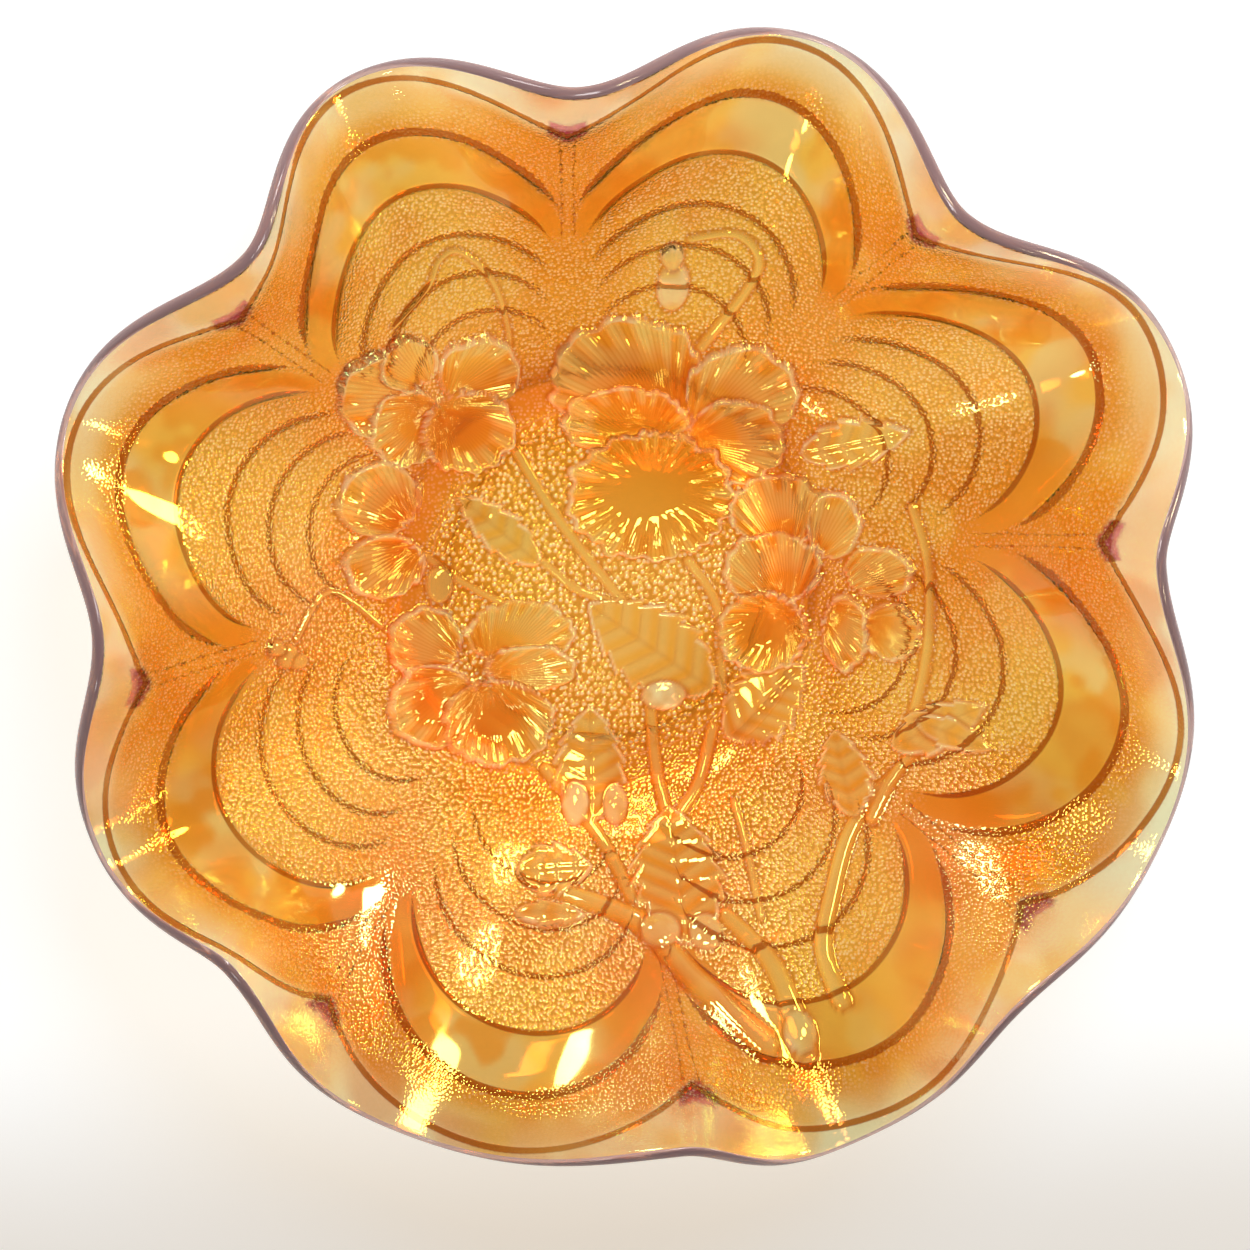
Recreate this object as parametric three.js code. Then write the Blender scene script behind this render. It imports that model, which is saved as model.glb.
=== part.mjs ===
// Ruffled pressed-glass bowl on an integral collar base. Millimetres, +Z up.
// The origin is on the table, at the centre of the foot ring.
import * as THREE from "three";

// Driving dimensions of the base.
const INSIDE_FLOOR_Z = 9;
const RECESS_DEPTH = 3.5;
const RECESS_RADIUS = 32;
const FOOT_INNER_RADIUS = 38;
const FOOT_OUTER_RADIUS = 43.5;
const FOOT_EDGE_BEVEL = 0.7;
const COLLAR_HEIGHT = 4.6;

// Driving dimensions of the wall, measured along the inside surface from the centre.
const WALL_LENGTH = 126.5;
const WALL_THICKNESS = 5;
const RIM_THICKNESS = 2.7;
const RIM_ROUNDING = 0.7;
const CURVE_START = 22;
const CURVE_END = 74;
const MEAN_SLOPE = 36;
const CRIMP_START = 50;
const CRIMP_POWER = 1.2;

// The hand-crimped rim, lobes and ruffles in turn: direction in degrees round the bowl, then how
// many degrees steeper or flatter than the mean slope the wall stands there, then how much longer
// or shorter the hot glass was drawn there. Lobes lean out and ruffles stand up.
const CRIMPS = [
  [5, 23.5, 0], [23.5, -19, 2],
  [51, 28.5, -1.5], [71.5, -16.5, 0],
  [96, 24, -0.5], [117.5, -16.5, 0],
  [136.5, 22.5, -0.5], [159.5, -14.5, -0.5],
  [181, 21, 0], [204, -14, -2.5],
  [220, 22, 0.5], [245, -15.5, -3],
  [274.5, 19, 1.5], [292, -20, 1.5],
  [314, 17, 4], [337, -17.5, 1.5],
];

// Mesh fineness.
const SEGMENTS = 96;
const PATH_STEPS = 250;
const WALL_STEPS = 10;
const NEAR = 0.5;
const OUTER_WALL_START = 49;
const INSIDE_RINGS = [15, 30, 40];

const radians = THREE.MathUtils.degToRad;

// The wall's lean and its own length at a direction, eased between neighbouring crimps.
function crimpAt(direction) {
  const first = CRIMPS[0];
  const closing = [first[0] + 360, first[1], first[2]];
  const turned = THREE.MathUtils.euclideanModulo(direction - first[0], 360) + first[0];
  const next = [...CRIMPS, closing].findIndex((crimp) => crimp[0] > turned);
  const from = CRIMPS[next - 1];
  const to = next < CRIMPS.length ? CRIMPS[next] : closing;
  const eased = (1 - Math.cos((Math.PI * (turned - from[0])) / (to[0] - from[0]))) / 2;
  const lean = THREE.MathUtils.lerp(from[1], to[1], eased);
  const drawn = THREE.MathUtils.lerp(from[2], to[2], eased);
  return { lean, length: WALL_LENGTH + drawn };
}

// The wall's slope above the horizontal, in radians, at a distance along the inside surface.
function slopeAt(distance, { lean, length }) {
  const curve = THREE.MathUtils.smoothstep(distance, CURVE_START, CURVE_END);
  const crimp = Math.max(0, (distance - CRIMP_START) / (length - CRIMP_START));
  return radians(MEAN_SLOPE * curve + lean * Math.pow(crimp, CRIMP_POWER));
}

// One meridian of the inside surface: radius and height at each of PATH_STEPS equal steps.
function meridian(direction) {
  const crimp = crimpAt(direction);
  const step = crimp.length / PATH_STEPS;
  const path = [[0, INSIDE_FLOOR_Z]];
  for (let i = 0; i < PATH_STEPS; i++) {
    const slope = slopeAt((i + 0.5) * step, crimp);
    const [r, z] = path[i];
    path.push([r + Math.cos(slope) * step, z + Math.sin(slope) * step]);
  }
  return { path, length: crimp.length };
}

// The inside surface as a function of segment (whole or fractional) and distance. Past the start
// of the crimps a distance is stretched in step with the wall's own length.
function insideSurface() {
  const cache = new Map();
  return (segment, distance) => {
    const direction = (segment * 360) / SEGMENTS;
    if (!cache.has(direction)) cache.set(direction, meridian(direction));
    const { path, length } = cache.get(direction);
    const stretch = (length - CRIMP_START) / (WALL_LENGTH - CRIMP_START);
    const past = Math.max(0, distance - CRIMP_START);
    const local = Math.min(distance, CRIMP_START) + past * stretch;
    const place = Math.min((local / length) * PATH_STEPS, PATH_STEPS - 0.001);
    const low = Math.floor(place);
    const r = THREE.MathUtils.lerp(path[low][0], path[low + 1][0], place - low);
    const z = THREE.MathUtils.lerp(path[low][1], path[low + 1][1], place - low);
    const angle = radians(direction);
    return new THREE.Vector3(r * Math.cos(angle), r * Math.sin(angle), z);
  };
}

// The unit normal of the inside surface, pointing into the bowl.
function insideNormal(surface, segment, distance) {
  const along = surface(segment, distance + NEAR).sub(surface(segment, distance - NEAR));
  const round = surface(segment + NEAR, distance).sub(surface(segment - NEAR, distance));
  return along.cross(round).normalize();
}

function thicknessAt(distance) {
  const taper = THREE.MathUtils.smoothstep(distance, CRIMP_START, WALL_LENGTH);
  return THREE.MathUtils.lerp(WALL_THICKNESS, RIM_THICKNESS, taper);
}

// A ring of points at a constant radius and height.
function flatRing(radius, z) {
  const ring = [];
  for (let i = 0; i < SEGMENTS; i++) {
    const angle = (i * 2 * Math.PI) / SEGMENTS;
    ring.push(new THREE.Vector3(radius * Math.cos(angle), radius * Math.sin(angle), z));
  }
  return ring;
}

// A ring on the wall: at a distance along the inside, and a depth below it.
function wallRing(surface, distance, depth) {
  const ring = [];
  for (let i = 0; i < SEGMENTS; i++) {
    const normal = insideNormal(surface, i, Math.min(distance, WALL_LENGTH - 2 * NEAR));
    ring.push(surface(i, distance).addScaledVector(normal, -depth));
  }
  return ring;
}

// Underside of the base, from the centre outwards: sloping recess, foot ring and collar.
function baseRings() {
  return [
    flatRing(RECESS_RADIUS / 2, RECESS_DEPTH),
    flatRing(RECESS_RADIUS, RECESS_DEPTH),
    flatRing(FOOT_INNER_RADIUS, 0),
    flatRing(FOOT_OUTER_RADIUS, 0),
    flatRing(FOOT_OUTER_RADIUS + FOOT_EDGE_BEVEL, FOOT_EDGE_BEVEL),
    flatRing(FOOT_OUTER_RADIUS + 2 * FOOT_EDGE_BEVEL, COLLAR_HEIGHT),
  ];
}

// The outer wall up to the rim, the rounded rim, and the inside wall back down to the floor.
function wallRings(surface) {
  const rings = [];
  const reach = WALL_LENGTH - RIM_ROUNDING;
  for (let i = 0; i <= WALL_STEPS; i++) {
    const distance = THREE.MathUtils.lerp(OUTER_WALL_START, reach, i / WALL_STEPS);
    rings.push(wallRing(surface, distance, thicknessAt(distance)));
  }
  rings.push(wallRing(surface, WALL_LENGTH, RIM_THICKNESS - RIM_ROUNDING));
  rings.push(wallRing(surface, WALL_LENGTH, RIM_ROUNDING));
  for (let i = WALL_STEPS; i >= 0; i--) {
    rings.push(wallRing(surface, THREE.MathUtils.lerp(OUTER_WALL_START, reach, i / WALL_STEPS), 0));
  }
  for (const distance of [...INSIDE_RINGS].reverse()) {
    rings.push(wallRing(surface, distance, 0));
  }
  return rings;
}

// Closes a stack of rings into one body, with a point at the centre of each end.
function closedBody(rings, first, last) {
  const points = [first, ...rings.flat(), last];
  const index = [];
  const at = (ring, i) => 1 + ring * SEGMENTS + (i % SEGMENTS);
  const end = points.length - 1;
  const top = rings.length - 1;
  for (let i = 0; i < SEGMENTS; i++) {
    index.push(0, at(0, i + 1), at(0, i));
    for (let ring = 0; ring < top; ring++) {
      index.push(at(ring, i), at(ring, i + 1), at(ring + 1, i));
      index.push(at(ring, i + 1), at(ring + 1, i + 1), at(ring + 1, i));
    }
    index.push(at(top, i), at(top, i + 1), end);
  }
  const geometry = new THREE.BufferGeometry().setFromPoints(points);
  geometry.setIndex(index);
  geometry.computeVertexNormals();
  return geometry;
}

function bowlGeometry() {
  const surface = insideSurface();
  const under = new THREE.Vector3(0, 0, RECESS_DEPTH);
  const inside = new THREE.Vector3(0, 0, INSIDE_FLOOR_Z);
  return closedBody([...baseRings(), ...wallRings(surface)], under, inside);
}

const marigoldGlass = new THREE.MeshStandardMaterial({
  color: 0xe08a1e,
  roughness: 0.08,
  metalness: 0.1,
});

const bowl = new THREE.Mesh(bowlGeometry(), marigoldGlass);
bowl.name = "glass_bowl";

const part = new THREE.Group();
part.add(bowl);

export default part;
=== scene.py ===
"""Ruffled marigold carnival glass bowl: the looks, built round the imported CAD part."""
import math

import bpy
import numpy as np
from mathutils import Matrix, Vector


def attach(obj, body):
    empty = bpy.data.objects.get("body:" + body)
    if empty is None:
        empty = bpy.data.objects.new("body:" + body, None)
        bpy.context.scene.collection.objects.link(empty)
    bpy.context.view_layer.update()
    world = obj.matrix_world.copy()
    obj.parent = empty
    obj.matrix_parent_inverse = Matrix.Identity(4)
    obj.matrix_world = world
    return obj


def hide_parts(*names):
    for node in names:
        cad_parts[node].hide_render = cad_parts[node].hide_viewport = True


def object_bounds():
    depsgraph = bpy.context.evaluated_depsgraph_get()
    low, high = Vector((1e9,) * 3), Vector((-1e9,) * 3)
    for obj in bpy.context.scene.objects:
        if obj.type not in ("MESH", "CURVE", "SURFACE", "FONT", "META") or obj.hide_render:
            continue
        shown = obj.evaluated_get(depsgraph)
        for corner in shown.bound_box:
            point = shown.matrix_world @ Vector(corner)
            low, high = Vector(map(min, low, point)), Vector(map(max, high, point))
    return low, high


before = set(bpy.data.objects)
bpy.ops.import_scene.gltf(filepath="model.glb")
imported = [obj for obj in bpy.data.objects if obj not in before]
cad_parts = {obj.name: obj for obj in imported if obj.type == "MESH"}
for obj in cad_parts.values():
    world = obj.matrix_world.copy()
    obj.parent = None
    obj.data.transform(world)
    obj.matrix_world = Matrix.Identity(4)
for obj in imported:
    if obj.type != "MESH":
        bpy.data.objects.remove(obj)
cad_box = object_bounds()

MM = 0.001
# Light given off by the floor around the bowl and under it, then by the sky low down and overhead,
# and the least that the sky shows to the camera.
FLOOR_GLOW, UNDER_GLOW = 0.74, 0.80
SKY_EDGE, SKY_TOP, BACKDROP = 0.66, 0.09, 0.88
# Small lamps that only show in the glass: name, place, size, power and colour.
WHITE, WARM = (1, 1, 1), (1, 0.84, 0.50)
GLINTS = (
    ("key", (0.10, 0.47, 1.00), (0.34, 0.34), 5.0, WHITE),
    ("high", (-0.10, 0.25, 1.1), (0.12, 0.12), 0.9, WHITE),
    ("low", (-0.30, 0.98, 0.42), (0.26, 0.12), 1.5, WHITE),
    ("far", (0.42, 0.70, 0.75), (0.18, 0.18), 2.9, WARM),
    ("left", (1.00, 0.33, 0.34), (0.20, 0.20), 3.8, WARM),
    ("side", (0.75, -0.25, 0.65), (0.12, 0.12), 0.8, WARM),
    ("near", (-0.45, -0.70, 0.70), (0.12, 0.12), 0.7, WHITE),
)
BOWL = "glass_bowl"

# The wall as the CAD part has it, in millimetres: distances run along the inside surface.
INSIDE_FLOOR_Z = 9.0
WALL_LENGTH = 126.5
WALL_THICKNESS = 5.0
RIM_THICKNESS = 2.7
CURVE_START = 22.0
CURVE_END = 74.0
MEAN_SLOPE = 36.0
CRIMP_START = 50.0
CRIMP_POWER = 1.2

# The hand-crimped rim: direction, lean from the mean slope in degrees, and drawn length.
CRIMPS = (
    (5, 23.5, 0), (23.5, -19, 2),
    (51, 28.5, -1.5), (71.5, -16.5, 0),
    (96, 24, -0.5), (117.5, -16.5, 0),
    (136.5, 22.5, -0.5), (159.5, -14.5, -0.5),
    (181, 21, 0), (204, -14, -2.5),
    (220, 22, 0.5), (245, -15.5, -3),
    (274.5, 19, 1.5), (292, -20, 1.5),
    (314, 17, 4), (337, -17.5, 1.5),
)

# Underside of the base as radius and height, from the centre to where the wall starts.
RECESS_DEPTH = 3.5
BASE_PROFILE = (
    (0, RECESS_DEPTH), (30.8, RECESS_DEPTH), (32.8, 3.2), (37.3, 0.4), (38.6, 0.0),
    (43.0, 0.0), (43.8, 0.25), (44.2, 0.9), (44.4, 2.6), (44.9, 4.6), (46.5, 5.8), (49.4, 7.5),
)
OUTER_WALL_START = 50.0

# The moulded pattern under the wall, in the flat plan of one panel: u runs out along the panel's
# middle and v across it. Arcs as the middle of the circle, its radius and the groove's width.
PANELS = 8
PANEL_TURN = 30.2
ARCS = (
    (74.2, 50.3, 1.4), (81.5, 31.0, 1.9), (72.8, 25.7, 1.2),
    (63.8, 21.7, 1.2), (56.1, 18.4, 1.1), (48.5, 15.5, 1.0),
)
ARC_DEPTH = 0.32
SCALE_STEP = 0.35
GROOVE_APART = 1.4

# The flowers, in millimetres from above. A petal: middle, two half-sizes, the point its flutes
# run out from, flutes in a full turn, depth of its cup.
PETALS = (
    (-48.5, 41, 8.1, 8.9, -35, 39, 26, 0.0), (-42, 47, 6.4, 5.8, -36, 40, 26, 0.0),
    (-27, 44.5, 8.7, 7.6, -34, 39, 22, 0.6), (-42, 33.5, 8.2, 8.4, -35, 38, 30, 0.3),
    (-29, 32, 10, 8.8, -35, 38, 28, 0.5),
    (4, 42.5, 16, 13, 14, 31, 34, 0.0), (27.5, 38.5, 11.5, 11, 17, 30, 30, 0.0),
    (3.5, 33.5, 13.2, 7.2, 8, 28, 24, 0.5), (26.5, 29, 10.2, 9.2, 16, 29, 30, 0.0),
    (9, 17.8, 17.4, 13.4, 9.5, 19.5, 24, 2.0),
    (-47.7, 18.5, 8.8, 8, -39, 11, 22, 0.3), (-46.5, 4.5, 8.6, 6.8, -38, 9, 20, 0.2),
    (-38, -12, 7.8, 7.5, -27, -18, 30, 0.0), (-18, -10.5, 11.2, 7, -25, -19, 40, 0.0),
    (-16, -17.8, 9.6, 4.9, -26, -20, 34, 0.0), (-36.5, -25, 9.6, 8.6, -28, -19, 24, 0.8),
    (-23, -29, 11.8, 9, -25, -19, 30, 1.0),
    (35.5, 14.5, 10.2, 7.6, 38, 3, 34, 0.0), (47, 11.5, 5.4, 7.3, 42, 2, 24, 0.3),
    (56, 2, 6.8, 5.4, 45, -4, 36, 0.0), (34.5, 2.3, 10.3, 7.6, 38, -8, 32, 0.0),
    (58.4, -10.3, 5.8, 6.1, 52, -8, 36, 0.0), (49.3, -11, 4.7, 8, 43, -5, 30, 0.0),
    (32.4, -11, 9.4, 8.6, 37, -7, 28, 1.5),
)
# A leaf: where its stalk joins, its tip, half its width, teeth on each side.
LEAVES = (
    (22, -23, -4, -4.5, 8.6, 7), (-14, 4, -31, 18.5, 4.4, 5), (-4, -50, -3.6, -26, 7.2, 6),
    (14.5, -73, 12.5, -47, 9.3, 7), (40, 26.5, 61, 32, 5.2, 5), (58, -34, 76, -24, 4.6, 4),
    (25, -33, 41, -18, 7.2, 6), (50, -48, 47, -31, 5.2, 5), (-20, -59, -4, -58.5, 5.0, 4),
    (-21, -66.5, -6, -67.5, 2.4, 3), (63, -28, 77, -33, 3.2, 3),
)
# A bud or a rounded lobe: middle, two half-sizes, height, and the strength of its pearly painted
# highlight.
BUDS = (
    (-34.8, 0, 2.9, 3.8, 1.2, 0), (12.3, 62, 3.3, 5.2, 1.2, 0.5), (11.6, 68.5, 2.4, 2.6, 0.8, 0.5),
    (-67, -12, 2.2, 2.6, 1.0, 0), (-69.5, -10, 1.7, 1.7, 0.8, 0), (-64.5, -13.5, 1.8, 1.6, 0.8, 0),
    (-7.1, -46, 2.7, 4.4, 1.6, 0.8), (1.3, -46.4, 2.6, 4.0, 1.6, 0.4), (11.8, -24, 4.6, 3.0, 1.4, 2),
    (9, -70.5, 4, 3, 1.1, 0.3), (18.5, -71, 3.6, 3.2, 1.0, 0.3), (36.5, -90, 3.4, 4.0, 1.4, 0.3),
)
# A stem: half its width at the start and at the end, then the points it runs through.
STEMS = (
    (1.1, 1.1, (-19, 28), (-10, 13), (3, -4)),
    (0.9, 1.0, (-31, 18), (-13, 4), (-7, -1), (0, -4)),
    (1.0, 1.0, (17, 4), (23, -6), (24, -23)),
    (1.2, 1.3, (9, -26), (10, -38), (12, -48)),
    (1.2, 1.3, (22, -31), (19, -42), (15, -48)),
    (1.3, 1.5, (-13, -39), (-2, -53), (5, -67), (9, -72)),
    (1.6, 2.9, (-11, -63), (5, -69), (16, -80), (29, -92)),
    (1.6, 2.8, (23, -68), (31, -76), (35, -85), (37, -93)),
    (0.7, 0.8, (26, -46), (28, -55), (30, -68)),
    (1.2, 2.0, (59, -38), (49, -50), (44, -64), (42, -74), (45, -83)),
    (0.9, 1.1, (74, -26), (65, -32), (59, -38), (53, -48)),
    (0.9, 1.0, (62, 16), (65, 5), (65.5, -8), (64, -20), (60, -34)),
    (1.2, 0.7, (19, 49), (27, 61), (29, 68), (24, 73), (15, 72)),
    (0.6, 0.6, (-47, -8), (-58, 0), (-65, -9)),
    (0.6, 0.6, (-21, 45), (-21, 53), (-25, 64), (-32, 70), (-36, 68), (-38, 63), (-45, 55)),
    (0.8, 0.8, (-52, 16), (-40, 8), (-31, 1), (-20, -5)),
)
PETAL_LIFT = 1.25
LEAF_LIFT = 1.0

# The glass itself. Sizes in millimetres, film in nanometres, colours linear.
MEDALLION_RADIUS = 37.0
CORNER_REACH = 114.2
COARSE_GRAIN, COARSE_BEAD = 1.15, 0.19
FINE_GRAIN, FINE_BEAD = 0.82, 0.11
STRIA_HEIGHT = 0.035
GLASS_IOR, GLOSS, SATIN = 1.5, 0.05, 0.50
GROOVE_BUMP = 0.06
WANDER = 0.9
FILM_THIN, FILM_THICK, FILM_IOR = 195.0, 246.0, 1.9
BETWEEN_BEADS = (0.72, 0.48, 0.26, 1)
# Pale bead tops: partly thinner spray, partly a painted highlight.
BEAD_TOP_SPRAY_AND_GLINT = (1.0, 0.90, 0.56, 1)
FINE_LINES = (0.92, 0.72, 0.52, 1)
GOLD_SHEEN = (1.0, 0.84, 0.40, 1)
# Painted shade: dark brown laid along the moulded grooves, for the darkness they show by refraction.
PAINTED_GROOVE_SHADE = (0.28, 0.045, 0.004, 1)
# The rim's mauve is a painted sheen.
RIM_SHEEN_COLOUR = (0.66, 0.40, 0.40, 1)
SHADE_COLOUR = (0.95, 0.80, 0.55, 1)

# What light is multiplied by on its way through the coloured glass.
AMBER, GOLD = np.array([0.90, 0.31, 0.020]), np.array([0.95, 0.47, 0.060])
STRAW, DEEP = np.array([0.98, 0.82, 0.44]), np.array([0.84, 0.18, 0.006])
SMOKE, RUSSET = np.array([0.84, 0.60, 0.23]), np.array([0.74, 0.17, 0.012])
CORNER_WEB = np.array([0.34, 0.012, 0.045])
PETAL_PALE, PETAL_HEART = np.array([0.76, 0.46, 0.09]), np.array([0.87, 0.45, 0.16])
# The last two are painted: shade darkening the flowers' creases, and a highlight on their edges.
PAINTED_CREASE_SHADE, PAINTED_EDGE_HIGHLIGHT = np.array([0.66, 0.26, 0.12]), np.array([0.99, 0.88, 0.58])
# How much of that colour lies on the sprayed inside and on the bare underside, as powers.
SPRAYED_SHARE, BARE_SHARE = 1.5, 0.5

# The camera: tilts from straight down in degrees, place, framing offsets in metres, and optics.
TILT_LEFT, TILT_TOP, CAMERA_DISTANCE = 6.8, 8.9, 1.0
FRAME_RIGHT, FRAME_DOWN = 0.0048, 0.0104
SENSOR_WIDTH, FOCAL_LENGTH = 36, 138

# Mesh fineness: rings of each face, and the share of the inside rings that lie on the flowers.
RINGS = 224
FLOWER_REACH = 90.0
FLOWER_RINGS = 192
BASE_RINGS = 72
PATH_NODES = 64


def smoothstep(low, high, x):
    t = np.clip((x - low) / (high - low), 0.0, 1.0)
    return t * t * (3 - 2 * t)


def crimp_at(theta):
    """The wall's lean in degrees and its own length at directions in radians."""
    direction = np.array([c[0] for c in CRIMPS] + [CRIMPS[0][0] + 360.0])
    lean = np.array([c[1] for c in CRIMPS] + [CRIMPS[0][1]])
    drawn = np.array([c[2] for c in CRIMPS] + [CRIMPS[0][2]])
    turned = (np.degrees(theta) - direction[0]) % 360.0 + direction[0]
    i = np.clip(np.searchsorted(direction, turned, side="right") - 1, 0, len(CRIMPS) - 1)
    eased = (1 - np.cos(np.pi * (turned - direction[i]) / (direction[i + 1] - direction[i]))) / 2
    lean_here = lean[i] + (lean[i + 1] - lean[i]) * eased
    drawn_here = drawn[i] + (drawn[i + 1] - drawn[i]) * eased
    return lean_here, WALL_LENGTH + drawn_here


def inside_point(theta, distance):
    """Points of the smooth inside surface, in millimetres."""
    lean, length = crimp_at(theta)
    past = np.maximum(distance - CRIMP_START, 0.0)
    local = np.minimum(distance, CRIMP_START)
    local = local + past * (length - CRIMP_START) / (WALL_LENGTH - CRIMP_START)
    r = np.zeros_like(local)
    z = np.full_like(local, INSIDE_FLOOR_Z)
    for i in range(PATH_NODES):
        at = local * (i + 0.5) / PATH_NODES
        crimp = np.maximum((at - CRIMP_START) / (length - CRIMP_START), 0.0) ** CRIMP_POWER
        slope = np.radians(MEAN_SLOPE * smoothstep(CURVE_START, CURVE_END, at) + lean * crimp)
        r += np.cos(slope) * local / PATH_NODES
        z += np.sin(slope) * local / PATH_NODES
    return np.stack([r * np.cos(theta), r * np.sin(theta), z], axis=-1)


def inside_frame(theta, distance):
    """The smooth inside surface's points and unit normals, which point into the bowl."""
    near, turn = 0.3, 0.004
    safe = np.clip(distance, 2 * near, WALL_LENGTH - near)
    along = inside_point(theta, safe + near) - inside_point(theta, safe - near)
    round_ = inside_point(theta + turn, safe) - inside_point(theta - turn, safe)
    normal = np.cross(along, round_)
    normal /= np.linalg.norm(normal, axis=-1, keepdims=True)
    return inside_point(theta, distance), normal


def disc_rings():
    """Ring number and direction of every vertex of a square grid wrapped onto a disc."""
    side = np.arange(-RINGS, RINGS + 1)
    a, b = (m.ravel().astype(float) for m in np.meshgrid(side, side, indexing="ij"))
    ring = np.maximum(np.abs(a), np.abs(b))
    wide = np.abs(a) >= np.abs(b)
    safe_a, safe_b = np.where(a == 0, 1, a), np.where(b == 0, 1, b)
    theta = np.where(wide, math.pi / 4 * b / safe_a, math.pi / 2 - math.pi / 4 * a / safe_b)
    theta = theta + np.where(np.where(wide, a < 0, b < 0), math.pi, 0.0)
    return ring.astype(int), theta


def disc_faces(offset, flipped):
    """Quads of the square grid, wound the other way when flipped."""
    n = 2 * RINGS + 1
    i, j = (m.ravel() for m in np.meshgrid(np.arange(n - 1), np.arange(n - 1), indexing="ij"))
    corner = offset + i * n + j
    quads = np.stack([corner, corner + n, corner + n + 1, corner + 1], axis=1)
    return quads[:, ::-1] if flipped else quads


def rim_loop():
    """Grid vertices of the outermost ring, once round."""
    n = 2 * RINGS + 1
    go = np.arange(2 * RINGS)
    return np.concatenate([
        (n - 1) * n + go, (n - 1 - go) * n + (n - 1), n - 1 - go, go * n,
    ])


def panel_plan(theta, distance):
    """Place in the flat plan of a panel, folded about the panel's middle, and the angle to it."""
    half = math.pi / PANELS
    turned = (theta - math.radians(PANEL_TURN) + half) % (2 * half) - half
    return distance * np.cos(turned), distance * np.abs(np.sin(turned)), np.abs(turned)


def bell(x, width):
    return np.exp(-((x / width) ** 2))


def mix(a, b, share):
    return a + (b - a) * share


def value_noise(x, y, size, seed):
    """Smooth noise from 0 to 1 over a plan, with features about size across."""
    grid = np.random.default_rng(seed).random((64, 64))
    gx, gy = x / size + 32, y / size + 32
    i, j = np.floor(gx).astype(int), np.floor(gy).astype(int)
    fx, fy = smoothstep(0, 1, gx - i), smoothstep(0, 1, gy - j)
    low = mix(grid[i % 64, j % 64], grid[(i + 1) % 64, j % 64], fx)
    high = mix(grid[i % 64, (j + 1) % 64], grid[(i + 1) % 64, (j + 1) % 64], fx)
    return mix(low, high, fy)


def clouds(x, y, size, seed):
    """Irregular soft patches from 0 to 1: three turned octaves of smooth noise."""
    total = np.zeros_like(x)
    for octave, share in enumerate((0.5, 0.3, 0.2)):
        c, s = math.cos(1.1 * octave + seed), math.sin(1.1 * octave + seed)
        total += share * value_noise(c * x + s * y, c * y - s * x, size / 1.9 ** octave, seed + octave)
    return total


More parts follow.
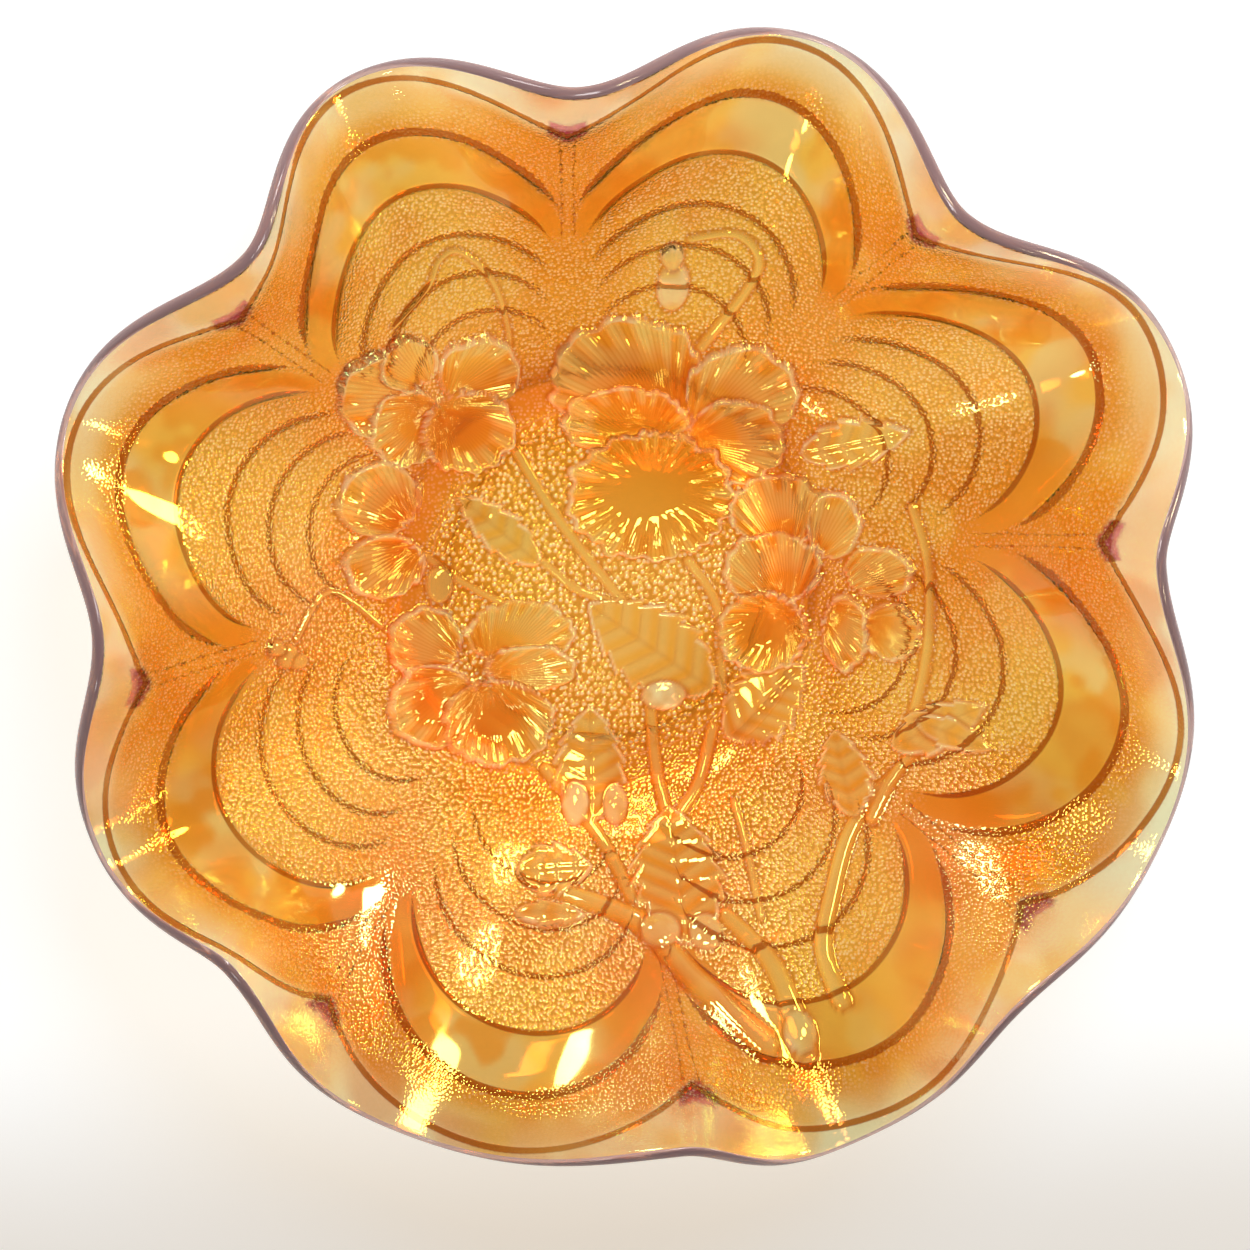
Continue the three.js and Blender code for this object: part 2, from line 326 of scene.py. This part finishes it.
class Relief:
    """The raised flowers as seen from above, built up one over another."""

    def __init__(self, x, y):
        self.x, self.y = x, y
        self.height = np.zeros_like(x)
        self.cover = np.zeros_like(x)
        self.crease = np.zeros_like(x)
        self.glow = np.zeros_like(x)
        self.phase = np.zeros_like(x)
        self.stria = np.zeros_like(x)
        self.edge = np.zeros_like(x)

    def lay(self, height, inside, glow=0.0, phase=0.0, stria=0.0, edge=0.0):
        """Lays a shape over the rest. inside is the distance in from its outline; glow is how pale (+) or
        deep (-) its glass looks, its colour and in places painted light and shade. The crease round its
        outline is darkened as painted shade, and edge is a painted highlight."""
        share = smoothstep(-0.15, 0.45, inside)
        self.height = mix(self.height, height + 0.2 * self.height, share)
        self.cover = np.maximum(self.cover, smoothstep(-0.5, 0.2, inside))
        self.crease = np.maximum(self.crease * (1 - share), bell(inside + 0.2, 0.42))
        self.glow = mix(self.glow, glow, share)
        self.phase = np.where(inside > 0.1, phase, self.phase)
        self.stria = mix(self.stria, stria, share)
        self.edge = mix(self.edge, edge, share)

    def petal(self, x, y, long, wide, from_x, from_y, flutes, depth):
        p, q = self.x - x, self.y - y
        out = math.atan2(y - from_y, x - from_x)
        turn = np.arctan2(self.y - from_y, self.x - from_x) - out
        turn = (turn + math.pi) % (2 * math.pi) - math.pi
        size = math.sqrt(long * wide)
        spread = np.hypot(p / long, q / wide)
        wave = np.cos(flutes * turn + 1.6 * np.sin(3.1 * turn + x))
        broad = np.cos(0.23 * flutes * turn + x)
        ragged = 0.028 * wave + 0.03 * np.cos(0.41 * flutes * turn + x)
        inside = (1 + ragged + 0.02 * np.cos(0.67 * flutes * turn + y) - spread) * size
        reach = np.clip(np.hypot(self.x - from_x, self.y - from_y) / (1.6 * size), 0, 1.2)
        cup = PETAL_LIFT * (0.35 + 0.65 * reach)
        flute = (0.40 * wave + 0.5 * broad) * smoothstep(0.3, 0.8, spread)
        bead = 0.55 * bell(inside - 0.55, 0.40)
        hollow = depth * (1 - smoothstep(0.25, 0.85, spread))
        # Painted light and shade: the folds are paler along the flute ridges and deeper in their hollows.
        fold_light_and_shade = (0.5 * wave + 0.45 * broad) * smoothstep(0.35, 0.8, spread)
        glow = mix(-0.9, 0.5, smoothstep(0.2, 1.0, reach)) + fold_light_and_shade
        glow = mix(glow, -0.75, smoothstep(0.1, 1.0, hollow))
        stria = smoothstep(0.2, 1.2, inside) * (1 - smoothstep(0.3, 1.2, hollow))
        height = cup + flute + bead + 0.7 * depth - hollow
        # edge lays a painted highlight along the petal's outline.
        self.lay(height, inside, glow, 4.0 * flutes * turn, stria, bell(inside - 0.4, 0.26))

    def leaf(self, x, y, tip_x, tip_y, wide, teeth):
        length = math.hypot(tip_x - x, tip_y - y)
        along_x, along_y = (tip_x - x) / length, (tip_y - y) / length
        p = (self.x - x) * along_x + (self.y - y) * along_y
        q = (self.y - y) * along_x - (self.x - x) * along_y
        share = np.clip(p / length, 0, 1)
        outline = wide * np.sin(math.pi * share ** 0.85) ** 0.75
        outline = outline * (1 + 0.26 * (0.5 - (teeth * share) % 1.0))
        beyond = np.maximum(-p, p - length)
        inside = np.where(beyond > 0, -np.hypot(beyond, q), outline - np.abs(q))
        vein = (teeth * (share - 0.55 * np.abs(q) / length) + 0.3) % 1.0
        veins = bell((vein - 0.5) * length / teeth, 0.3) * smoothstep(0.2, 1.5, inside)
        rib = bell(q, 0.45)
        bulge = 0.8 * np.clip(inside / wide, 0, 1)
        height = LEAF_LIFT + bulge - 0.06 * veins - 0.25 * rib + 0.35 * bell(inside - 0.6, 0.4)
        glow = 0.3 + 0.3 * np.sin(2 * math.pi * vein)
        # edge lays a painted highlight along the leaf's outline.
        self.lay(height, inside, glow, edge=bell(inside - 0.4, 0.26))
        # Painted shade along the leaf's rib and veins.
        self.crease = np.maximum(self.crease, 0.35 * np.maximum(rib, veins) * (inside > 0))

    def bud(self, x, y, long, wide, height, pearl_highlight):
        spread = np.hypot((self.x - x) / long, (self.y - y) / wide)
        inside = (1 - spread) * min(long, wide)
        dome = 0.4 + height * np.sqrt(np.clip(1 - spread ** 2, 0, 1))
        # The bud's pearl is a painted highlight, cream laid over it.
        self.lay(dome, inside, 0.5, edge=pearl_highlight)

    def stem(self, start, end, *points):
        route = curve_through(points)
        near = np.full_like(self.x, 1e9)
        width = np.full_like(self.x, start)
        for i in range(len(route) - 1):
            (ax, ay), (bx, by) = route[i], route[i + 1]
            dx, dy = bx - ax, by - ay
            t = np.clip(((self.x - ax) * dx + (self.y - ay) * dy) / (dx * dx + dy * dy), 0, 1)
            far = np.hypot(self.x - ax - t * dx, self.y - ay - t * dy)
            width = np.where(far < near, mix(start, end, (i + t) / (len(route) - 1)), width)
            near = np.minimum(near, far)
        round_ = np.sqrt(np.clip(1 - (near / width) ** 2, 0, 1))
        # Painted light and shade: paler along the stem's crest, deeper down its sides.
        glow = mix(-0.4, 0.5, round_ ** 2)
        self.lay(0.25 + 0.75 * np.minimum(width, 1.7) * round_, width - near, glow)


def curve_through(points, steps=6):
    """A smooth curve through the points (Catmull-Rom)."""
    p = [np.array(q, float) for q in (points[0], *points, points[-1])]
    route = []
    for a, b, c, d in zip(p, p[1:], p[2:], p[3:]):
        for i in range(steps):
            t = i / steps
            route.append(0.5 * (2 * b + (c - a) * t + (2 * a - 5 * b + 4 * c - d) * t ** 2
                                + (3 * b - a - 3 * c + d) * t ** 3))
    route.append(p[-1])
    return route


def flower_relief(x, y):
    relief = Relief(x, y)
    for stem in STEMS:
        relief.stem(*stem)
    for leaf in LEAVES:
        relief.leaf(*leaf)
    for petal in PETALS:
        relief.petal(*petal)
    for bud in BUDS:
        relief.bud(*bud)
    return relief


def arc_relief(u, v):
    """How far the underside stands in from its smooth surface: grooves and fish-scale steps."""
    depth = np.zeros_like(u)
    for middle, radius, width in ARCS:
        out = np.hypot(u - middle, v) - radius
        shown = smoothstep(middle - 4, middle + 10, u)
        depth += ARC_DEPTH * bell(out, 0.6 * width) * shown
        depth += SCALE_STEP * smoothstep(-5, 0, out) * (1 - smoothstep(0, 0.6, out)) * shown
    return depth


def line_distance(u, v):
    """Distance out from the nearest moulded line, less than 0 in it: arcs, and between panels a
    pair of fine grooves."""
    half = math.pi / PANELS
    near = np.full_like(u, 5.0)
    for middle, radius, width in ARCS:
        off = np.abs(np.hypot(u - middle, v) - radius)
        off = off - width / 2 * smoothstep(middle - 3, middle + 12, u)
        near = np.where(u > middle - 3, np.minimum(near, off), near)
    aside = u * math.sin(half) - v * math.cos(half)
    pair = np.abs(aside - GROOVE_APART * (1 + 0.5 * smoothstep(90, 106, u))) - 0.2
    pair = pair + smoothstep(74, 62, u) + 3 * smoothstep(101, 106, u)
    return np.minimum(near, pair)


def filled_corner(u, v):
    """The web of thick colour in the fork where the outer arcs of two panels meet."""
    half = math.pi / PANELS
    aside = np.abs(u * math.sin(half) - v * math.cos(half))
    along = u * math.cos(half) + v * math.sin(half)
    outside = np.hypot(u - ARCS[0][0], v) - ARCS[0][1]
    web = smoothstep(0.4, -0.4, along - 0.3 * aside - CORNER_REACH)
    return web * smoothstep(-0.9, -0.2, outside) * smoothstep(5.0, 4.2, aside) * (along > 100)


def glass_tint(theta, distance):
    """Colour of the glass: amber, paler towards the rim and in the panels, and deeper in the folds
    between the panels, where the deeper amber is painted shade.
    """
    u, v, turn = panel_plan(theta, distance)
    x, y = distance * np.cos(theta), distance * np.sin(theta)
    turn = np.degrees(turn)
    from_arc = [np.hypot(u - middle, v) - radius for middle, radius, _ in ARCS]
    middle_of_panel = 1 - smoothstep(5, 17, turn)
    tint = np.broadcast_to(AMBER, (len(theta), 3)).copy()

    def blend(colour, share):
        tint[:] = mix(tint, colour, np.clip(share, 0, 1)[:, None])

    blend(GOLD, 0.75 * (1 - smoothstep(14, 34, distance)))
    blend(RUSSET, 0.7 * bell(distance - 43, 9))
    blend(GOLD, 0.85 * middle_of_panel * smoothstep(48, 66, distance))
    outer = smoothstep(64, 80, u)
    window = smoothstep(-1, 1, from_arc[2]) * smoothstep(-1, 1, -from_arc[1]) * outer
    blend(GOLD, 0.6 * window * middle_of_panel)
    streak = smoothstep(0.42, 0.6, clouds(x, y, 15, 3))
    blend(SMOKE, 0.45 * window * streak * (1 - smoothstep(11, 19, turn)))
    blend(AMBER, 0.8 * window * smoothstep(0.5, 0.62, clouds(x, y, 13, 21)))
    blend(DEEP, 0.6 * window * smoothstep(8, 16, turn))
    shoulder = smoothstep(-0.5, 0.5, from_arc[1]) * smoothstep(-1, 0, -from_arc[0]) * outer
    blend(DEEP, 0.6 * shoulder * bell(from_arc[1], 5))
    blend(STRAW, 0.5 * shoulder * smoothstep(3, 11, from_arc[1]) * middle_of_panel)
    blend(STRAW, 0.98 * smoothstep(-2, 1.5, from_arc[0]) * smoothstep(98, 108, distance))
    # Painted shade: deeper amber in the folds between the panels near the rim.
    blend(DEEP, 0.6 * smoothstep(14, 21, turn) * bell(distance - 106, 10))
    blend(AMBER, 0.35 * smoothstep(13, 20, turn) * smoothstep(112, 122, distance))
    blend(DEEP, 0.45 * smoothstep(0.48, 0.68, clouds(x, y, 22, 5)) * smoothstep(20, 60, distance))
    blend(GOLD, 0.5 * smoothstep(0.5, 0.7, clouds(x, y, 17, 8)))
    blend(CORNER_WEB, filled_corner(u, v))
    return tint


def flower_tint(tint, relief):
    """The flowers over the ground's colour: pale petal edges and deep hearts, with painted shade
    darkening the creases round their outlines and along leaf veins, and painted highlights on petal and
    leaf edges and pearly buds.
    """
    glow = np.clip(relief.glow, -1, 1)[:, None]
    shaded = np.where(glow > 0, mix(tint, PETAL_PALE, 0.68 * glow), tint * mix(1.0, PETAL_HEART, -glow))
    # Painted shade: the creases round each outline and along leaf ribs and veins are darkened.
    shaded = shaded * mix(1.0, PAINTED_CREASE_SHADE, np.clip(relief.crease, 0, 1)[:, None])
    # Painted highlight: a broken cream line along petal and leaf edges, and over pearly buds.
    broken_highlight = 0.08 + 0.50 * smoothstep(0.4, 0.6, clouds(relief.x, relief.y, 6, 31))
    shaded = mix(shaded, PAINTED_EDGE_HIGHLIGHT, np.clip(broken_highlight * relief.edge, 0, 1)[:, None])
    return np.clip(shaded, 0, 0.99)


def ground_weight(u, v, distance, cover):
    """How strongly the ground is stippled: not on flowers, nor in the smooth window of a panel."""
    from_b = np.hypot(u - ARCS[1][0], v) - ARCS[1][1]
    from_c = np.hypot(u - ARCS[2][0], v) - ARCS[2][1]
    outer = smoothstep(66, 78, u)
    window = smoothstep(-0.5, 0.5, from_c) * smoothstep(0.5, -0.5, from_b) * outer
    band = (1 - 0.8 * bell(distance - 42, 4.5)) * (1 - 0.55 * smoothstep(-0.5, 0.5, from_b) * outer)
    return (1 - cover) * (1 - window) * band * (1 - 0.8 * smoothstep(113, 119, distance))


def grain_plan(theta, distance):
    """Plan coordinates counted in grains: coarse in the middle of the bowl, fine beyond."""
    cell = np.where(distance < MEDALLION_RADIUS, COARSE_GRAIN, FINE_GRAIN)
    x, y = distance * np.cos(theta) / cell, distance * np.sin(theta) / cell
    return np.stack([x, y, np.zeros_like(x)], axis=1)


def glass_mesh():
    """The inside and the underside of the glass over one grid, with what each vertex carries."""
    ring, theta = disc_rings()
    flower = np.linspace(0, FLOWER_REACH, FLOWER_RINGS + 1)
    wall = np.linspace(FLOWER_REACH, WALL_LENGTH, RINGS - FLOWER_RINGS + 1)[1:]
    inside_s = np.concatenate([flower, wall])[ring]
    inside, normal = inside_frame(theta, inside_s)
    relief = flower_relief(inside[:, 0], inside[:, 1])
    wander = value_noise(inside[:, 0], inside[:, 1], 11, 1) - 0.5
    wander = WANDER * wander * smoothstep(70, 90, inside_s) * smoothstep(126, 118, inside_s)
    inside = inside + normal * (relief.height + wander)[:, None]
    outside, outside_s = underside(ring, theta)
    u, v, _ = panel_plan(theta, inside_s)
    ground = ground_weight(u, v, inside_s, relief.cover)
    out_u, out_v, _ = panel_plan(theta, outside_s)
    blank = np.zeros_like(inside_s)
    film = value_noise(inside[:, 0], inside[:, 1], 22, 12)
    data = {
        "line": (blank + 5, np.clip(line_distance(out_u, out_v), -2, 5)),
        "ground": (ground, blank),
        "coarse": (smoothstep(MEDALLION_RADIUS + 1, MEDALLION_RADIUS - 1, inside_s), blank),
        "phase": (relief.phase, blank),
        "stria": (relief.stria, blank),
        "film": (mix(FILM_THIN, FILM_THICK, film), blank + FILM_THIN),
        "satin": (blank, smoothstep(33, 37, outside_s) * smoothstep(53, 48, outside_s)),
    }
    plans = (grain_plan(theta, inside_s), grain_plan(theta, outside_s))
    sprayed = glass_tint(theta, inside_s) ** SPRAYED_SHARE
    bare = glass_tint(theta, outside_s) ** BARE_SHARE
    tint = (flower_tint(sprayed, relief), bare)
    return inside, outside, theta, data, plans, tint


def underside(ring, theta):
    """The underside's points, the collar base and then the wall, and how far out each one is."""
    base = np.array(curve_through(BASE_PROFILE))
    run = np.concatenate([[0], np.cumsum(np.hypot(*np.diff(base, axis=0).T))])
    place = np.linspace(0, 1, BASE_RINGS + 1) ** 0.5 * run[-1]
    base_r, base_z = np.interp(place, run, base[:, 0]), np.interp(place, run, base[:, 1])
    wall_s = np.linspace(OUTER_WALL_START, WALL_LENGTH, RINGS - BASE_RINGS)
    on_wall = ring > BASE_RINGS
    points, distance = np.zeros((len(ring), 3)), np.zeros(len(ring))
    k, turn = ring[~on_wall], theta[~on_wall]
    points[~on_wall] = np.stack([base_r[k] * np.cos(turn), base_r[k] * np.sin(turn), base_z[k]], -1)
    distance[~on_wall] = base_r[k]
    s = wall_s[ring[on_wall] - BASE_RINGS - 1]
    surface, normal = inside_frame(theta[on_wall], s)
    taper = smoothstep(CRIMP_START, WALL_LENGTH, s)
    u, v, _ = panel_plan(theta[on_wall], s)
    depth = mix(WALL_THICKNESS, RIM_THICKNESS, taper) - arc_relief(u, v) * (1 - taper ** 6)
    points[on_wall] = surface - normal * depth[:, None]
    distance[on_wall] = s
    return points, distance


def rounded_rim(inside, outside, theta, loop, first):
    """Loops of points round the rim's edge, from the inside face to the underside."""
    middle, half = (inside[loop] + outside[loop]) / 2, (inside[loop] - outside[loop]) / 2
    edge = np.full(len(loop), WALL_LENGTH)
    step = inside_point(theta[loop], edge) - inside_point(theta[loop], edge - 0.5)
    outward = step / np.linalg.norm(step, axis=1, keepdims=True)
    bulge = np.linalg.norm(half, axis=1, keepdims=True) * 0.5
    points, loops = [], []
    for turn in np.radians((30, 60, 90, 120, 150)):
        points.append(middle + half * math.cos(turn) + outward * bulge * math.sin(turn))
        loops.append(first + len(loops) * len(loop) + np.arange(len(loop)))
    return np.concatenate(points), loops


def add_attribute(mesh, name, kind, values):
    attribute = mesh.attributes.new(name, kind, "POINT")
    field = {"FLOAT": "value", "FLOAT_VECTOR": "vector", "FLOAT_COLOR": "color"}[kind]
    attribute.data.foreach_set(field, np.ascontiguousarray(values, np.float32).ravel())


def build_bowl():
    inside, outside, theta, data, plans, tint = glass_mesh()
    count, loop = len(inside), rim_loop()
    rim, rim_loops = rounded_rim(inside, outside, theta, loop, 2 * count)
    loops = [loop, *rim_loops, loop + count]
    faces = [disc_faces(0, False), disc_faces(count, True)]
    for one, two in zip(loops, loops[1:]):
        faces.append(np.stack([one, two, np.roll(two, -1), np.roll(one, -1)], axis=1))
    points = np.concatenate([inside, outside, rim]) * MM
    mesh = mesh_of_quads("bowl_glass", points, np.concatenate(faces))
    slots = np.zeros(len(mesh.polygons), np.int32)
    slots[2 * len(faces[0]):] = 1
    mesh.polygons.foreach_set("material_index", slots)

    def with_rim(upper, lower):
        return np.concatenate([upper, lower, *[upper[loop]] * len(rim_loops)])

    for name, (upper, lower) in data.items():
        add_attribute(mesh, name, "FLOAT", with_rim(upper, lower))
    add_attribute(mesh, "grain", "FLOAT_VECTOR", with_rim(*plans))
    colour = with_rim(*tint)
    colour = np.concatenate([colour, np.ones((len(colour), 1))], axis=1)
    add_attribute(mesh, "tint", "FLOAT_COLOR", colour)
    bowl = bpy.data.objects.new("bowl_glass", mesh)
    bpy.context.scene.collection.objects.link(bowl)
    return bowl


def mesh_of_quads(name, vertices, quads):
    mesh = bpy.data.meshes.new(name)
    mesh.vertices.add(len(vertices))
    mesh.vertices.foreach_set("co", vertices.astype(np.float32).ravel())
    mesh.loops.add(4 * len(quads))
    mesh.loops.foreach_set("vertex_index", quads.astype(np.int32).ravel())
    mesh.polygons.add(len(quads))
    mesh.polygons.foreach_set("loop_start", np.arange(0, 4 * len(quads), 4, dtype=np.int32))
    mesh.update(calc_edges=True)
    mesh.shade_smooth()
    return mesh


class Nodes:
    """The node tree of a material or a world, with short names for the few kinds of node it uses."""

    def __init__(self, owner):
        owner.use_nodes = True
        self.tree = owner.node_tree
        self.tree.nodes.clear()

    def put(self, socket, value):
        if isinstance(value, bpy.types.NodeSocket):
            self.tree.links.new(value, socket)
        else:
            socket.default_value = value

    def node(self, kind, inputs=None, **settings):
        node = self.tree.nodes.new(kind)
        for name, value in settings.items():
            setattr(node, name, value)
        for name, value in (inputs or {}).items():
            self.put(node.inputs[name], value)
        return node

    def math(self, operation, a, b=0.0, clamp=False):
        node = self.node("ShaderNodeMath", {0: a, 1: b}, operation=operation, use_clamp=clamp)
        return node.outputs[0]

    def attribute(self, name, output="Fac"):
        return self.node("ShaderNodeAttribute", attribute_name=name).outputs[output]

    def ramp(self, value, low, high, to_low=0.0, to_high=1.0):
        node = self.node("ShaderNodeMapRange", {
            "Value": value, "From Min": low, "From Max": high, "To Min": to_low, "To Max": to_high,
        }, interpolation_type="SMOOTHSTEP")
        return node.outputs["Result"]

    def blend(self, share, a, b, blend_type="MIX"):
        node = self.node("ShaderNodeMix", data_type="RGBA", blend_type=blend_type)
        self.put(node.inputs[0], share)
        self.put(node.inputs[6], a)
        self.put(node.inputs[7], b)
        return node.outputs[2]

    def total(self, first, *rest):
        for value in rest:
            first = self.math("ADD", first, value)
        return first

    def product(self, first, *rest):
        for value in rest:
            first = self.math("MULTIPLY", first, value)
        return first


def glass_material():
    """Coloured clear glass with a thin film, beads of stipple and moulded lines. The lines carry painted
    shade, and the bead tops are paler, partly thinner spray and partly a painted highlight.
    """
    material = bpy.data.materials.new("marigold_carnival_glass")
    nodes = Nodes(material)
    line = nodes.ramp(nodes.attribute("line"), -0.15, 0.15, 1.0, 0.0)
    ground, coarse = nodes.attribute("ground"), nodes.attribute("coarse")

    grains = nodes.node("ShaderNodeTexVoronoi", {
        "Vector": nodes.attribute("grain", "Vector"), "Scale": 1.0, "Randomness": 0.9,
    }, voronoi_dimensions="2D")
    cells, chance = grains.outputs["Distance"], grains.outputs["Color"]
    bead = nodes.math("SUBTRACT", 1.0, nodes.product(cells, cells, 3.3), clamp=True)
    bead_height = nodes.ramp(coarse, 0.0, 1.0, FINE_BEAD, COARSE_BEAD)
    fluting = nodes.math("SINE", nodes.attribute("phase"))
    height = nodes.total(
        nodes.product(bead, bead_height, ground),
        nodes.product(fluting, nodes.attribute("stria"), STRIA_HEIGHT),
        nodes.product(line, -GROOVE_BUMP),
    )
    bump = nodes.node("ShaderNodeBump", {"Strength": 1.0, "Distance": MM, "Height": height})

    # The spray gathers in a thin net between the beads, which stand pale on it, some more than others:
    # the pale tops are partly thinner spray and partly a painted highlight.
    strength = nodes.product(ground, nodes.ramp(coarse, 0.0, 1.0, 0.7, 0.85))
    between = nodes.product(nodes.ramp(cells, 0.34, 0.60), strength)
    colour = nodes.blend(between, nodes.attribute("tint", "Color"), BETWEEN_BEADS, "MULTIPLY")
    thin_spray_and_glint = nodes.product(nodes.ramp(cells, 0.15, 0.42, 1.0, 0.0), ground)
    thin_spray_and_glint = nodes.product(thin_spray_and_glint, nodes.ramp(coarse, 0.0, 1.0, 0.42, 0.6), nodes.ramp(chance, 0.2, 0.8))
    colour = nodes.blend(thin_spray_and_glint, colour, BEAD_TOP_SPRAY_AND_GLINT)
    drawn = nodes.product(nodes.ramp(fluting, 0.1, -0.7), nodes.attribute("stria"))
    colour = nodes.blend(drawn, colour, FINE_LINES, "MULTIPLY")
    # Painted shade: the moulded grooves and line pairs are coloured dark brown.
    colour = nodes.blend(line, colour, PAINTED_GROOVE_SHADE)
    glass = nodes.node("ShaderNodeBsdfPrincipled", {
        "Base Color": colour, "Roughness": nodes.ramp(nodes.attribute("satin"), 0, 1, GLOSS, SATIN),
        "IOR": GLASS_IOR, "Transmission Weight": 1.0,
        "Specular Tint": GOLD_SHEEN,
        "Normal": bump.outputs[0], "Thin Film Thickness": nodes.attribute("film"),
        "Thin Film IOR": FILM_IOR,
    })
    shade = nodes.node("ShaderNodeBsdfTransparent", {"Color": SHADE_COLOUR})
    path = nodes.node("ShaderNodeLightPath")
    both = nodes.node("ShaderNodeMixShader", {0: path.outputs["Is Shadow Ray"]})
    nodes.tree.links.new(glass.outputs[0], both.inputs[1])
    nodes.tree.links.new(shade.outputs[0], both.inputs[2])
    nodes.node("ShaderNodeOutputMaterial", {"Surface": both.outputs[0]})
    return material


def rim_material():
    """The fire-polished edge, painted mauve as a painted sheen for the purple-grey it reflects."""
    material = bpy.data.materials.new("mauve_rim_sheen")
    nodes = Nodes(material)
    edge = nodes.node("ShaderNodeBsdfPrincipled", {
        "Base Color": RIM_SHEEN_COLOUR, "Roughness": 0.12, "IOR": GLASS_IOR, "Transmission Weight": 0.45,
    })
    nodes.node("ShaderNodeOutputMaterial", {"Surface": edge.outputs[0]})
    return material


def area_light(name, place, aim, size, power, colour):
    data = bpy.data.lights.new(name, "AREA")
    data.shape = "ELLIPSE"
    data.size, data.size_y = size
    data.energy = power
    data.color = colour
    light = bpy.data.objects.new(name, data)
    light.location = place
    light.rotation_euler = (Vector(aim) - Vector(place)).to_track_quat("-Z", "Y").to_euler()
    bpy.context.scene.collection.objects.link(light)
    return light


def floor_material():
    """A pale sheet, painted darker and a little warmer towards the near side as painted shade, that glows
    a little brighter under the bowl as a painted pool of light.
    """
    material = bpy.data.materials.new("pale_floor")
    nodes = Nodes(material)
    place = nodes.node("ShaderNodeTexCoord").outputs["Object"]
    depth = nodes.node("ShaderNodeSeparateXYZ", {0: place}).outputs["Y"]
    # Painted shade: colour and glow fall off, warmer, towards the near side.
    near = nodes.ramp(depth, -0.085, -0.150)
    away = nodes.node("ShaderNodeVectorMath", {0: place}, operation="LENGTH").outputs["Value"]
    shader = nodes.node("ShaderNodeBsdfPrincipled", {
        "Base Color": nodes.blend(near, (0.6, 0.6, 0.59, 1), (0.50, 0.47, 0.43, 1)),
        "Roughness": 0.4,
        "Emission Color": nodes.blend(near, (1, 1, 0.985, 1), (0.72, 0.68, 0.63, 1)),
        # Painted pool of light: the floor glows brighter under the bowl.
        "Emission Strength": nodes.ramp(away, 0.03, 0.09, UNDER_GLOW, FLOOR_GLOW),
    })
    nodes.node("ShaderNodeOutputMaterial", {"Surface": shader.outputs[0]})
    return material


def stage():
    size = 3.0
    corners = np.array([(-size, -size, 0), (size, -size, 0), (size, size, 0), (-size, size, 0)])
    mesh = mesh_of_quads("studio_floor", corners, np.array([(0, 1, 2, 3)]))
    mesh.materials.append(floor_material())
    floor = bpy.data.objects.new("studio_floor", mesh)
    floor.location.z = cad_box[0][2] - 0.0002
    bpy.context.scene.collection.objects.link(floor)
    world = bpy.data.worlds.new("studio")
    sky = Nodes(world)
    up = sky.node("ShaderNodeSeparateXYZ", {
        0: sky.node("ShaderNodeTexCoord").outputs["Generated"]}).outputs["Z"]
    seen = sky.node("ShaderNodeLightPath").outputs["Is Camera Ray"]
    glow = sky.ramp(up, 0.0, 0.62, SKY_EDGE, SKY_TOP)
    light = sky.node("ShaderNodeBackground", {
        "Color": (1, 0.985, 0.96, 1), "Strength": sky.math("MAXIMUM", glow, sky.product(seen, BACKDROP))})
    sky.node("ShaderNodeOutputWorld", {"Surface": light.outputs[0]})
    bpy.context.scene.world = world
    middle = (0, 0, 0.02)
    softbox = area_light("softbox", (0.2, 0.9, 1.3), middle, (0.7, 0.7), 14, WHITE)
    softbox.visible_glossy = softbox.visible_transmission = False
    for name, place, size, power, colour in GLINTS:
        glint = area_light(name, place, middle, size, power, colour)
        glint.visible_diffuse = False


def camera():
    """Looks down the bowl's axis, a little from the left and from beyond the top."""
    left, top = math.tan(math.radians(TILT_LEFT)), math.tan(math.radians(TILT_TOP))
    back = Vector((-left, top, 1)).normalized()
    right = Vector((0, 1, 0)).cross(back).normalized()
    up = back.cross(right)
    data = bpy.data.cameras.new("photo_view")
    data.sensor_width = SENSOR_WIDTH
    data.lens = FOCAL_LENGTH
    view = bpy.data.objects.new("photo_view", data)
    place = back * CAMERA_DISTANCE + right * FRAME_RIGHT - up * FRAME_DOWN
    turn = Matrix((right, up, back)).transposed().to_4x4()
    view.matrix_world = Matrix.Translation(place) @ turn
    bpy.context.scene.collection.objects.link(view)
    bpy.context.scene.camera = view


camera()
stage()
bowl = build_bowl()
bowl.data.materials.append(glass_material())
bowl.data.materials.append(rim_material())
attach(bowl, "root")
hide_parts(BOWL)
bpy.context.scene.view_settings.view_transform = "Standard"
bpy.context.scene.cycles.caustics_reflective = False
bpy.context.scene.cycles.caustics_refractive = False
bpy.context.scene.cycles.max_bounces = 16
bpy.context.scene.cycles.transmission_bounces = 16
